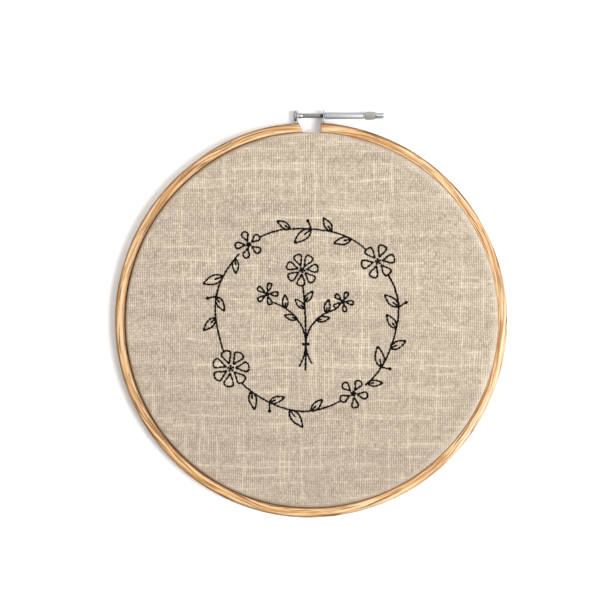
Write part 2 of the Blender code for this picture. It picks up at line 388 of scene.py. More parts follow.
def linen_finish(cloth):
    """Plain weave of slubby yarns, laid on the cloth as it was cut flat."""
    finish = Finish("linen")
    flat = finish.node("ShaderNodeUVMap", {"uv_map": "flat_cut"})
    u, v, _ = finish.parts(flat)
    u, v = u / MM, v / MM

    def field(a, b, detail=1.0):
        return finish.noise(finish.vector(a, b), detail=detail, dimensions="2D")

    warp = u / (cloth.warp_pitch / MM) + field(u / 24, v / 48, 2.0) * 3.0
    weft = v / (cloth.weft_pitch / MM) + field(u / 48 + 31, v / 24, 2.0) * 3.4
    warp_line, weft_line = warp.math("FLOOR"), weft.math("FLOOR")
    warp_round = 0.5 - (warp * math.tau).cosine() * 0.5
    weft_round = 0.5 - (weft * math.tau).cosine() * 0.5
    over = ((warp_line + weft_line) * math.pi).cosine() * 0.5 + 0.5

    warp_tone = field(warp_line * 5.37, v / 2.4, 2.0)
    weft_tone = field(u / 3.2 + 50, weft_line * 4.71, 2.0)
    warp_slub = field(warp_line * 3.17 + 70, v / 60, 2.0).between(0.62, 0.69)
    weft_slub = field(u / 55 + 20, weft_line * 2.83 + 90, 2.0).between(0.60, 0.67)
    weft_band = field(u / 80 + 7, v / 6, 2.0)
    fibres = field(u * 3, v * 3, 3.0) - 0.5

    warp_height = warp_round * (over * 0.28 + 0.72) * (warp_tone * 0.8 + 0.6)
    weft_height = weft_round * (1 - over * 0.5) * (weft_tone * 0.9 + 0.18)
    weave = warp_height.at_least(weft_height)
    tone = weave * cloth.weave_contrast + (warp_tone - 0.5) * 0.38 + (weft_tone - 0.5) * 0.42
    tone = tone + (warp_slub + weft_slub) * 0.24 + (weft_band - 0.5) * 0.42
    tone = tone + (0.48 - cloth.weave_contrast * 0.55) + fibres * 0.3
    colour = finish.mix(tone, cloth.linen_dark, cloth.linen_light)
    reach = (u * u + v * v) ** 0.5
    over_rim = reach.between(116.5, 121.0)
    side = u / reach
    # Painted sheen: the cloth where it bends over the inner hoop is paled on the right, the lamp's
    # side.
    colour = finish.mix(over_rim * side.between(-0.1, 0.4, 0.0, 0.24), colour, cloth.linen_painted_sheen)
    # Painted shade: a brown band on the cloth beside the wood, all round but the right, where the
    # lamp is, and brown as from light bounced off the wood; it is faint at the top beside the gap.
    beside_wood = reach.between(118.6, 121.5) * side.between(0.2, 0.8, 0.65, 0.0)
    beside_wood = beside_wood * (v / reach).between(0.965, 0.99, 1.0, 0.1)
    colour = finish.mix(beside_wood, colour, cloth.linen_bounce_shade)
    # Painted shade: the cloth is darker towards the bottom, as though less light fell there.
    colour = finish.mix(v.between(-95, 10, 0.18, 0.0), colour, cloth.linen_dark)
    finish.set(
        Base_Color=colour,
        Roughness=0.92,
        Sheen_Weight=0.1,
        Sheen_Roughness=0.5,
        Normal=finish.bump(weave + (warp_slub + weft_slub) * 0.5 + fibres * 0.4, 0.16 * MM, 0.7),
    )
    return finish.material


def thread_finish(stitches):
    """Stranded cotton, twisted along each stitch."""
    finish = Finish("black_thread")
    twist = finish.node("ShaderNodeUVMap", {"uv_map": "twist"})
    u, v, _ = finish.parts(twist)
    plies = ((u * 2.2 + v * 2) * math.tau).sine() * 0.5 + 0.5
    fibres = finish.noise(finish.vector(u * 3 + v * 9, v * 30), detail=2.0, dimensions="2D")
    colour = finish.mix(plies * 0.6 + fibres * 0.4, stitches.thread_shade, stitches.thread_colour)
    finish.set(
        Base_Color=colour,
        Roughness=0.7,
        Specular_IOR_Level=0.04,
        Normal=finish.bump(plies + fibres * 0.3, 0.16 * MM, 0.8),
    )
    return finish.material


def zinc_finish(name, colours, brush_scale, dull=0.0, rough=0.26, shank=None, grip=None):
    """Zinc plate with faint patches and brushed or turned marks.

    shank holds where along X the screw's thread starts and ends, and grip where the nut's flats do.
    """
    finish = Finish(name)
    place = finish.node("ShaderNodeTexCoord", output=3)
    x, y, z = finish.parts(place)
    patches = finish.noise(place, scale=220.0, detail=2.0)
    specks = finish.noise(place, scale=1400.0, detail=2.0, roughness=0.65)
    turned = finish.noise(finish.vector(x * brush_scale, y * 60, z * 60), detail=2.0)
    colour = finish.mix(patches.between(0.35, 0.65), colours.zinc_cool, colours.zinc_warm)
    colour = finish.mix(specks.between(0.62, 0.78, dull, 0.5 + dull / 2), colour, colours.zinc_dull)
    off_y, off_z = y - SCREW_AXIS.y, z - SCREW_AXIS.z
    if grip:
        start, end = grip
        lift = off_z * math.cos(GRIP_FLAT_TILT) - off_y * math.sin(GRIP_FLAT_TILT)
        flat = lift.math("ABSOLUTE").between(GRIP_FLAT_FROM_AXIS - 0.1 * MM, GRIP_FLAT_FROM_AXIS)
        on_grip = x.within(start, end, 0.4 * MM, 0.4 * MM)
        colour = finish.mix(flat * on_grip * 0.85, colour, colours.zinc_worn)
        # Painted reflection: a dark crescent where each flat ends, for the dark that its hollow end
        # reflects.
        flat_end = x.within(end - 1.4 * MM, end, 0.5 * MM, 0.1 * MM)
        colour = finish.mix(flat * flat_end * 0.85, colour, colours.zinc_painted_shade)
    if shank:
        start, end = shank
        head_right = SCREW_LOW.x + HEAD_THICKNESS
        # The screw is a duller zinc all over; its domed face is dulled more, as painted shade, and
        # its rim less, as a painted highlight.
        on_rim = x.within(head_right - HEAD_RIM, head_right, 0.1 * MM, 0.1 * MM)
        on_head = x.between(head_right, head_right + 0.2 * MM, 0.35, 0.0)
        colour = finish.mix(on_head + 0.5 - on_rim * 0.45, colour, colours.zinc_dull)
        # Painted shade on the lower side of the head and of the shank, and painted shadow on the
        # shank beside the right plate.
        head_low = x.between(head_right, head_right + 0.2 * MM, 1.0, 0.0)
        head_low = head_low * off_y.between(-3.2 * MM, -2.3 * MM, 1.0, 0.0)
        run_low = off_y.between(-1.35 * MM, -1.0 * MM, 0.95, 0.0)
        run_low = run_low * x.between(head_right, head_right + 0.4 * MM)
        by_plate = x.between(RIGHT_EAR_LOW.x - 2.6 * MM, RIGHT_EAR_LOW.x - 1.2 * MM)
        low = head_low.at_least(run_low).at_least(by_plate)
        colour = finish.mix(low * 0.85, colour, colours.zinc_painted_shade)
        # Painted shade in the roots of the thread.
        depth = ((off_y * off_y + off_z * off_z) ** 0.5).between(1.28 * MM, 1.52 * MM, 1.0, 0.0)
        threaded = x.within(start - 0.5 * MM, end, 0.5 * MM, 0.1 * MM)
        colour = finish.mix(depth * threaded * 0.38, colour, colours.zinc_painted_shade)
    finish.set(
        Base_Color=colour,
        Metallic=0.8,
        Roughness=patches * 0.12 + specks * 0.14 + rough,
        Normal=finish.bump(turned * 0.6 + specks * 0.4, 0.03 * MM, 0.3),
    )
    return finish.material


def arc_points(centre, radius, start, end, steps):
    """Points on an arc in a plane, from one angle to the other."""
    angles = [start + (end - start) * i / steps for i in range(steps + 1)]
    return [(centre[0] + radius * math.cos(a), centre[1] + radius * math.sin(a)) for a in angles]


def spin(points, place, axis, steps, sweep=math.tau, closed=False, advance=0.0, marks=None):
    """Spins an outline about an axis through the origin, once place has put its points in 3D.

    advance is how far the outline moves along the axis in all. marks, if given, holds a number
    for each point, which its spun copies keep in the layer named reach.
    """
    bm = bmesh.new()
    reach = bm.verts.layers.float.new("reach") if marks else None
    verts = [bm.verts.new(place(*p)) for p in points]
    if marks:
        for vert, mark in zip(verts, marks):
            vert[reach] = mark
    pairs = list(zip(verts, verts[1:]))
    if closed:
        pairs.append((verts[-1], verts[0]))
    edges = [bm.edges.new(pair) for pair in pairs]
    full = abs(sweep - math.tau) < 1e-9 and not advance
    bmesh.ops.spin(
        bm,
        geom=verts + edges,
        cent=(0, 0, 0),
        axis=axis,
        dvec=Vector(axis) * (advance / steps),
        angle=sweep,
        steps=steps,
        use_merge=full,
    )
    bmesh.ops.remove_doubles(bm, verts=bm.verts, dist=0.0005 * MM)
    return bm


def turned(points):
    """A closed piece turned round the X axis, from points of x and radius."""
    return spin(points, lambda x, r: (x, r, 0), (1, 0, 0), HARDWARE_STEPS)


def close_holes(bm):
    """Fills what is open and returns the new faces."""
    open_edges = [e for e in bm.edges if e.is_boundary]
    return bmesh.ops.holes_fill(bm, edges=open_edges, sides=0)["faces"]


def soften(bm, edges, offset, segments):
    """Bevels the edges."""
    return bmesh.ops.bevel(
        bm,
        geom=edges,
        offset=offset,
        segments=segments,
        profile=0.5,
        affect="EDGES",
        material=-1,
    )


def join(target, *others):
    """Adds other bmeshes to the first, as shells of their own."""
    for other in others:
        mesh = bpy.data.meshes.new("joined")
        bmesh.ops.recalc_face_normals(other, faces=other.faces)
        other.to_mesh(mesh)
        other.free()
        target.from_mesh(mesh)
        bpy.data.meshes.remove(mesh)
    return target


def to_piece(bm, name, material, at=Vector(), sharp=35.0, turn_out=True):
    """Moves the mesh to its place and makes it an object at the origin."""
    if turn_out:
        bmesh.ops.recalc_face_normals(bm, faces=bm.faces)
    bmesh.ops.translate(bm, vec=at, verts=bm.verts)
    mesh = bpy.data.meshes.new(name)
    bm.to_mesh(mesh)
    bm.free()
    mesh.shade_smooth()
    mesh.set_sharp_from_angle(angle=math.radians(sharp))
    mesh.materials.append(material)
    piece = bpy.data.objects.new(name, mesh)
    bpy.context.scene.collection.objects.link(piece)
    return piece


def block(low, high):
    """A box between two corners."""
    low, high = Vector(low), Vector(high)
    bm = bmesh.new()
    bmesh.ops.create_cube(bm, size=1.0)
    bmesh.ops.scale(bm, vec=high - low, verts=bm.verts)
    bmesh.ops.translate(bm, vec=(low + high) / 2, verts=bm.verts)
    return bm


def saw(bm, low, high):
    """The mesh with a box sawn out of it, so that its slot has true walls."""
    body = to_piece(bm, "sawn", None)
    blade = to_piece(block(low, high), "blade", None)
    cut = body.modifiers.new("cut", "BOOLEAN")
    cut.object = blade
    cut.operation = "DIFFERENCE"
    depsgraph = bpy.context.evaluated_depsgraph_get()
    result = bmesh.new()
    result.from_object(body, depsgraph)
    for thing in (body, blade):
        mesh = thing.data
        bpy.data.objects.remove(thing)
        bpy.data.meshes.remove(mesh)
    return result


def wood_section(inner, outer, inner_rounding, crown, groove=None):
    """Closed outline of a ring's wood as radius and height, with its top a little crowned.

    groove, if given, is the low and the high side of the band that the bracket feet sink into.
    """
    r, s = WOOD_ROUNDING, inner_rounding
    corners = (
        (outer - r, RING_TOP - r, r, 0.0),
        (inner + s, RING_TOP - s, s, 0.5),
        (inner + s, s, s, 1.0),
        (outer - r, r, r, 1.5),
    )
    points = []
    for cx, cz, rounding, quarter in corners:
        start = quarter * math.pi
        points += arc_points((cx, cz), rounding, start, start + math.pi / 2, CORNER_STEPS)
    left, right = inner + s, outer - r
    shares = [i / 6 for i in range(1, 6)]
    over_top = [(right + (left - right) * t, RING_TOP + crown * 4 * t * (1 - t)) for t in shares]
    points[CORNER_STEPS + 1:CORNER_STEPS + 1] = over_top
    if groove:
        low, high = groove
        step = 0.05 * MM
        points += [(outer, z) for z in (low - step, low + step, high - step, high + step)]
    return points


def clamp(value):
    """The value, held between 0 and 1."""
    return min(1.0, max(0.0, value))


def from_middle(v):
    """How far a point is from the hoop's upright middle line."""
    return math.hypot(v.co.x, v.co.y)


def push_out(v, factor):
    """Moves a point away from that line, or towards it."""
    v.co.x *= factor
    v.co.y *= factor


def end_angle(end):
    """Angle from +X of the middle of one end of the outer hoop."""
    return math.acos((end["inner_x"] + end["outer_x"]) / 2 / (HOOP_RADIUS - OUTER_THICKNESS / 2))


def set_end(verts, end):
    """Moves an end of the hoop onto its saw cut, which may run at a slant."""
    for v in verts:
        radius = from_middle(v)
        share = (radius - HOOP_RADIUS + OUTER_THICKNESS) / OUTER_THICKNESS
        v.co.x = end["inner_x"] + (end["outer_x"] - end["inner_x"]) * share
        v.co.y = math.sqrt(radius**2 - v.co.x**2)


def keep_radius(bm):
    """Notes how far each point is from the middle while the ring is still round."""
    layer = bm.verts.layers.float.new("round_radius")
    for v in bm.verts:
        v[layer] = from_middle(v)


def wander_wood(bm, inner, outer):
    """Lets the outside of bent wood wander, but not under the brackets."""
    for v in bm.verts:
        radius = from_middle(v)
        angle = math.atan2(v.co.y, v.co.x)
        share = max(0.0, (radius - inner) / (outer - inner))
        away = clamp((abs(angle - math.pi / 2) - BRACKETS_REACH) / WANDER_FADE)
        spot = Vector((2.2 * math.cos(angle), 2.2 * math.sin(angle), 4.0))
        push_out(v, 1 + share * away * WOOD_WANDER * noise.noise(spot) / radius)


def flatten_left(bm):
    """Presses the left side in a little, because bent wood is never quite round."""
    for v in bm.verts:
        turn = math.atan2(v.co.y, v.co.x) % math.tau
        leftward = max(0.0, math.cos(turn - FLATTENED_AT)) ** FLATTENING_FALL
        clear_of_feet = clamp((turn - FLATTENING_START) / FLATTENING_FADE)
        outward = (from_middle(v) / HOOP_RADIUS) ** 2
        push_out(v, 1 - FLATTENING * leftward * clear_of_feet * outward)


def sink_feet(bm, groove):
    """Presses a groove into the outside of the wood where the bracket feet lie."""
    for v in bm.verts:
        angle = abs(math.atan2(v.co.x, v.co.y))
        if angle < (FOOT_LENGTH + FOOT_START) / HOOP_RADIUS and groove[0] < v.co.z < groove[1]:
            push_out(v, min(1.0, (HOOP_RADIUS - FOOT_SINK) / from_middle(v)))


def outer_hoop_mesh():
    """The open outer hoop, with slanted sawn ends and a groove for the bracket feet."""
    inner = HOOP_RADIUS - OUTER_THICKNESS
    start, end = end_angle(LEFT_END), end_angle(RIGHT_END) + math.tau
    cos_start, sin_start = math.cos(start), math.sin(start)
    room = FOOT_WIDTH / 2 + GROOVE_ROOM
    groove = (SCREW_AXIS.z - room, SCREW_AXIS.z + room)
    bm = spin(
        wood_section(inner, HOOP_RADIUS, INNER_ARRIS, WOOD_CROWN, groove),
        lambda r, z: (r * cos_start, r * sin_start, z),
        (0, 0, 1),
        RING_STEPS,
        end - start,
        closed=True,
    )
    open_verts = {v for e in bm.edges if e.is_boundary for v in e.verts}
    set_end([v for v in open_verts if v.co.x < 0], LEFT_END)
    set_end([v for v in open_verts if v.co.x > 0], RIGHT_END)
    caps = close_holes(bm)
    soften(bm, [e for cap in caps for e in cap.edges], END_ROUNDING, 3)
    keep_radius(bm)
    wander_wood(bm, inner, HOOP_RADIUS)
    sink_feet(bm, groove)
    flatten_left(bm)
    return bm


def skew(x):
    """How far the inner hoop and the cloth sit lower towards the left."""
    return SKEW * (x / HOOP_RADIUS - 1) / 2


def draw_in(bm, start, full):
    """Leaves a gap beside the outer hoop, widest on the left, because the inner hoop sits right.

    Nothing moves inside the radius start, and all moves alike beyond the radius full.
    """
    for v in bm.verts:
        radius = from_middle(v)
        if radius > start:
            share = min(1.0, (radius - start) / (full - start))
            side = clamp(0.5 - 0.5 * v.co.x / radius - 0.15 * v.co.y / radius)
            push_out(v, 1 - GAP_AT_LEFT * side * share / radius)


def inner_hoop_mesh():
    """The closed hoop under the cloth. It sits a little low and to the right."""
    inner = INNER_RADIUS - INNER_THICKNESS
    section = wood_section(inner, SKIRT_OUTSIDE - INNER_HOOP_INSET, WOOD_ROUNDING, INNER_CROWN)
    bm = spin(section, lambda r, z: (r, 0, z), (0, 0, 1), RING_STEPS, closed=True)
    for v in bm.verts:
        v.co.z *= 1 + skew(v.co.x) / RING_TOP
    keep_radius(bm)
    draw_in(bm, inner + MM, SKIRT_OUTSIDE - 2 * MM)
    flatten_left(bm)
    return bm


def cloth_lift(x, y):
    """Height of the taut cloth above its lowest plane: a ridge over the inner hoop and puckers."""
    radius = math.hypot(x, y)
    inside = INNER_RADIUS - INNER_THICKNESS + 0.6 * MM
    rise = clamp((radius - inside + 1.6 * MM) / (2.6 * MM))
    ridge = RIM_RIDGE * rise * rise * (3 - 2 * rise)
    near_rim = max(0.0, 1 - (SKIRT_OUTSIDE - radius) / PUCKER_REACH)
    around = Vector((x, y, 0)).normalized() if radius > 1e-6 else Vector()
    puckers = noise.noise(around * 9 + Vector((0, 0, 3))) + noise.noise(around * 24) * 0.5
    puckers *= PUCKER_HEIGHT * near_rim**2
    slack = noise.noise(Vector((x, y, 0)) / SLACK_SPAN) * SLACK_HEIGHT
    return ridge + puckers + slack + skew(x)


def cloth_mesh():
    """The upper side of the cloth, with each point's reach along the cloth from its middle."""
    top = FACE_TOP
    edge = SKIRT_OUTSIDE + SHOULDER_REACH
    flat = edge - SHOULDER_WIDTH
    corner_z = top - SHOULDER_DROP
    points = [(flat * (i / FACE_RINGS) ** 0.75, top) for i in range(FACE_RINGS)]
    points += [
        (flat + SHOULDER_WIDTH * math.sin(a), corner_z + SHOULDER_DROP * math.cos(a))
        for a in [math.pi / 2 * i / 9 for i in range(10)]
    ]
    points.append((edge - 0.25 * MM, corner_z - 0.22 * MM))
    points.append((SKIRT_OUTSIDE + 0.02 * MM, corner_z - 0.7 * MM))
    skirt_top = corner_z - 1.3 * MM
    fall = SKIRT_BOTTOM - skirt_top
    points += [
        (SKIRT_OUTSIDE, skirt_top + fall * i / SKIRT_STEPS) for i in range(SKIRT_STEPS + 1)
    ]
    marks = [0.0]
    for a, b in zip(points, points[1:]):
        marks.append(marks[-1] + math.dist(a, b))
    marks[0] = 1e-9  # not quite 0, because the linen's finish divides by the reach
    bm = spin(points, lambda r, z: (r, 0, z), (0, 0, 1), CLOTH_STEPS, marks=marks)

    reach = bm.verts.layers.float["reach"]
    uv = bm.loops.layers.uv.new("flat_cut")
    for face in bm.faces:
        for loop in face.loops:
            vert = loop.vert
            angle = math.atan2(vert.co.y, vert.co.x)
            loop[uv].uv = (vert[reach] * math.cos(angle), vert[reach] * math.sin(angle))

    for v in bm.verts:
        if v.co.z > corner_z:
            share = (v.co.z - corner_z) / (top - corner_z)
            v.co.z += (cloth_lift(v.co.x, v.co.y) - RIM_RIDGE - skew(v.co.x)) * share
            v.co.z = max(v.co.z, corner_z + 0.01 * MM) + skew(v.co.x)
        elif v.co.z > SKEW_FROM_Z:
            v.co.z += skew(v.co.x) * min(1.0, (v.co.z - SKEW_FROM_Z) / SKEW_FADE)
        elif v.co.z < SKIRT_BOTTOM + CUT_EDGE_BAND:
            down = (SKIRT_BOTTOM + CUT_EDGE_BAND - v.co.z) / CUT_EDGE_BAND
            ragged = noise.noise(Vector((v.co.x, v.co.y, 5)) / CUT_EDGE_SPAN)
            v.co.z += down * CUT_EDGE_WANDER * ragged
    draw_in(bm, flat, SKIRT_OUTSIDE)
    flatten_left(bm)
    return bm


def stitch_mesh():
    """One stitch a unit long on X: it rises out of the cloth, bows over it and dips back in."""
    bm = bmesh.new()
    bmesh.ops.create_cone(
        bm,
        cap_ends=True,
        segments=STITCH_SIDES,
        radius1=0.5,
        radius2=0.5,
        depth=1.0,
        matrix=Matrix.Rotation(math.pi / 2, 4, "Y"),
    )
    long_edges = [e for e in bm.edges if abs(e.verts[0].co.x - e.verts[1].co.x) > 0.5]
    bmesh.ops.subdivide_edges(bm, edges=long_edges, cuts=STITCH_RINGS - 1)
    uv = bm.loops.layers.uv.new("twist")
    for face in bm.faces:
        turns = [math.atan2(l.vert.co.z, l.vert.co.y) / math.tau % 1.0 for l in face.loops]
        wraps = max(turns) - min(turns) > 0.5
        for loop, turn in zip(face.loops, turns):
            if wraps and turn < 0.5:
                turn += 1.0
            loop[uv].uv = (loop.vert.co.x, turn)
    for v in bm.verts:
        along = abs(v.co.x * 2)
        full = math.sqrt(max(0.0, 1 - along**6)) * 0.5 + 0.5
        v.co.y *= full
        v.co.z = v.co.z * full + 0.6 * math.cos(along * math.pi / 2) - 0.2 * along**6
    mesh = bpy.data.meshes.new("stitch")
    bm.to_mesh(mesh)
    bm.free()
    return mesh


def knot_mesh():
    """One wound knot, a unit across: a flattened ball with a dimple."""
    bm = bmesh.new()
    bmesh.ops.create_uvsphere(bm, u_segments=8, v_segments=6, radius=0.5)
    uv = bm.loops.layers.uv.new("twist")
    for v in bm.verts:
        dimple = max(0.0, 1 - math.hypot(v.co.x, v.co.y) / 0.3) if v.co.z > 0 else 0.0
        v.co.z = v.co.z * 0.8 - dimple * 0.16 + 0.2
    for face in bm.faces:
        for loop in face.loops:
            loop[uv].uv = (loop.vert.co.z * 3, math.hypot(loop.vert.co.x, loop.vert.co.y))
    mesh = bpy.data.meshes.new("knot")
    bm.to_mesh(mesh)
    bm.free()
    return mesh


class Embroidery:
    """Gathers stitches and knots on the cloth's face into one mesh."""

    def __init__(self, stitches):
        self.sizes = stitches
        self.chance = random.Random(11)
        self.stitch = stitch_mesh()
        self.knot = knot_mesh()
        self.laid = []

    def place(self, mesh, matrix):
        copy = mesh.copy()
        copy.transform(matrix)
        self.laid.append(copy)

    def mesh(self):
        """All that was laid, as one mesh."""
        bm = bmesh.new()
        for copy in self.laid:
            bm.from_mesh(copy)
        for used in (*self.laid, self.stitch, self.knot):
            bpy.data.meshes.remove(used)
        return bm

    def height(self, x, y):
        return FACE_TOP + cloth_lift(x, y) - RIM_RIDGE

    def jitter(self):
        """A small move by chance."""
        return Vector([self.chance.gauss(0, STITCH_JITTER) for _ in range(2)])

    def lay_stitch(self, a, b):
        """One stitch between two points of the cloth's plane."""
        a = a + self.jitter()
        b = b + self.jitter()
        middle, run = (a + b) / 2, b - a
        width = self.sizes.thread_width * self.chance.uniform(0.9, 1.1)
        matrix = (
            Matrix.Translation((middle.x, middle.y, self.height(middle.x, middle.y)))
            @ Matrix.Rotation(math.atan2(run.y, run.x), 4, "Z")
            @ Matrix.Diagonal((run.length * STITCH_OVERLAP, width, width * STITCH_FLATNESS, 1.0))
        )
        self.place(self.stitch, matrix)

    def lay_knot(self, at, size=1.0):
        width = self.sizes.thread_width * KNOT_WIDTH * size
        matrix = (
            Matrix.Translation((at.x, at.y, self.height(at.x, at.y)))
            @ Matrix.Rotation(self.chance.uniform(0, math.tau), 4, "Z")
            @ Matrix.Diagonal((width, width * 0.92, width * 0.75, 1.0))
        )
        self.place(self.knot, matrix)

    def back_stitch(self, points):
        """A row of even stitches along a smooth path."""
        reaches = [0.0]
        for a, b in zip(points, points[1:]):
            reaches.append(reaches[-1] + (b - a).length)
        count = max(1, round(reaches[-1] / self.sizes.stitch_length))
        marks = [reaches[-1] * i / count for i in range(count + 1)]
        spots, k = [], 0
        for mark in marks:
            while k < len(reaches) - 2 and reaches[k + 1] < mark:
                k += 1
            share = (mark - reaches[k]) / max(1e-9, reaches[k + 1] - reaches[k])
            spots.append(points[k].lerp(points[k + 1], min(1.0, share)))
        for a, b in zip(spots, spots[1:]):
            self.lay_stitch(a, b)


def turned_about(angle, x, y):
    """A point of a motif's own plane, turned by an angle."""
    cos, sin = math.cos(angle), math.sin(angle)
    return Vector((x * cos - y * sin, x * sin + y * cos))


def leaf_outline(root, angle, length, width):
    """A pointed leaf from its root, out along its angle and back."""
    sides = []
    for side in (1, -1):
        sides.append([
            root + turned_about(angle, length * t, side * width / 2 * math.sin(math.pi * t**0.8))
            for t in [i / LEAF_STEPS for i in range(LEAF_STEPS + 1)]
        ])
    return sides


def petal_outline(root, angle, length, width):
    """A round petal: a loop that leaves its root and comes back to it."""
    points = []
    for i in range(PETAL_STEPS + 1):
        t = i / PETAL_STEPS * math.pi
        x = length * math.sin(t) ** 0.8
        y = -width / 2 * math.sin(2 * t) * (0.55 + 0.45 * math.sin(t))
        points.append(root + turned_about(angle, x, y))
    return points


def stitch_leaf(work, root, angle, length):
    for side in leaf_outline(root, angle, length, length * 0.42):
        work.back_stitch(side)
    work.back_stitch([root, root + turned_about(angle, length * 0.42, 0)])


def stitch_flower(work, middle, radius, petals, turn):
    for i in range(petals):
        angle = turn + i * math.tau / petals
        root = middle + turned_about(angle, radius * 0.26, 0)
        work.back_stitch(petal_outline(root, angle, radius * 0.78, radius * 0.66))
    work.lay_knot(middle, 1.1)
    for i in range(5):
        work.lay_knot(middle + turned_about(turn + 0.3 + i * math.tau / 5, radius * 0.15, 0), 0.8)


def stitch_bud(work, root, angle, length):
    tip = root + turned_about(angle, length, 0)
    work.back_stitch([root, tip])
    work.lay_knot(tip + turned_about(angle, 0.7 * MM, 0), 1.15)


# Stems of the posy: how far each leans by its tip, its length and its flower
POSY = (
    {"lean": 0.66, "length": 34 * MM, "flower": 7.0 * MM, "petals": 5,
     "leaves": ((0.5, 1), (0.78, -1))},
    {"lean": 0.05, "length": 38 * MM, "flower": 10.0 * MM, "petals": 7,
     "leaves": ((0.6, 1), (0.72, -1))},
    {"lean": -0.72, "length": 30 * MM, "flower": 6.5 * MM, "petals": 5,
     "leaves": ((0.56, -1), (0.8, 1))},
)

# Where flowers sit on the wreath, in degrees round it, and how big they are
FLOWERS = (
    {"at": 38.0, "radius": 10.5 * MM, "petals": 6, "turn": 0.2},
    {"at": 128.0, "radius": 8.5 * MM, "petals": 5, "turn": 0.7},
    {"at": 214.0, "radius": 11.5 * MM, "petals": 7, "turn": 0.1},
    {"at": 302.0, "radius": 9.0 * MM, "petals": 5, "turn": 1.1},
)


def stitch_posy(work, tie):
    """Three curved stems that cross at their tie, each with a flower and two leaves."""
    for stem in POSY:
        def spot(t):
            return tie + turned_about(math.pi / 2 + stem["lean"] * t, stem["length"] * t, 0)

        work.back_stitch([spot(i / 20) for i in range(-9, 21)])
        up = math.pi / 2 + stem["lean"]
        middle = spot(1.0) + turned_about(up, stem["flower"], 0)
        stitch_flower(work, middle, stem["flower"], stem["petals"], up + 0.3)
        for t, side in stem["leaves"]:
            stitch_leaf(work, spot(t), math.pi / 2 + stem["lean"] * t * 1.6 + side * 0.75, 9 * MM)
    for x in (-1, 0, 1):
        work.lay_knot(tie + Vector((x * 1.6 * MM, 0)))


def stem_point(angle, radius):
    """A point of the wreath's gently waving stem."""
    wave = 1.2 * MM * math.sin(3 * angle + 0.6) + 0.5 * MM * math.sin(7 * angle)
    return WREATH_MIDDLE + turned_about(angle, radius + wave, 0)


def embroidery_mesh(stitches):
    """A wreath of leaves, buds and open flowers on a waving stem, round a small posy."""
    work = Embroidery(stitches)
    radius = stitches.wreath_radius
    clear = [(math.radians(f["at"]), f["radius"] / radius) for f in FLOWERS]

    def near_flower(angle, margin):
        for at, half in clear:
            apart = abs((angle - at + math.pi) % math.tau - math.pi)
            if apart < half * margin:
                return True
        return False

    run = []
    steps = 360
    for i in range(steps * 2):
        angle = i * math.tau / steps
        if near_flower(angle, 0.92):
            if len(run) > 3:
                work.back_stitch(run)
            run = []
            if i >= steps:
                break
        else:
            run.append(stem_point(angle, radius))

    for flower in FLOWERS:
        middle = stem_point(math.radians(flower["at"]), radius)
        stitch_flower(work, middle, flower["radius"], flower["petals"], flower["turn"])

    sprigs = stitches.sprigs
    for i in range(sprigs):
        angle = (i + 0.5) * math.tau / sprigs
        length = (12.0 + 2.2 * math.sin(i * 2.4)) * MM
        if near_flower(angle, 1.15) or near_flower(angle + length * 0.75 / radius, 1.0):
            continue
        root = stem_point(angle, radius)
        forward = angle + math.pi / 2
        side = 1 if i % 2 else -1
        stitch_leaf(work, root, forward - side * 0.75, length)
        if i % 3 == 0:
            stitch_bud(work, root, forward + side * 1.15, 5.0 * MM)
    stitch_posy(work, WREATH_MIDDLE + Vector((0, -17 * MM)))
    return work.mesh()


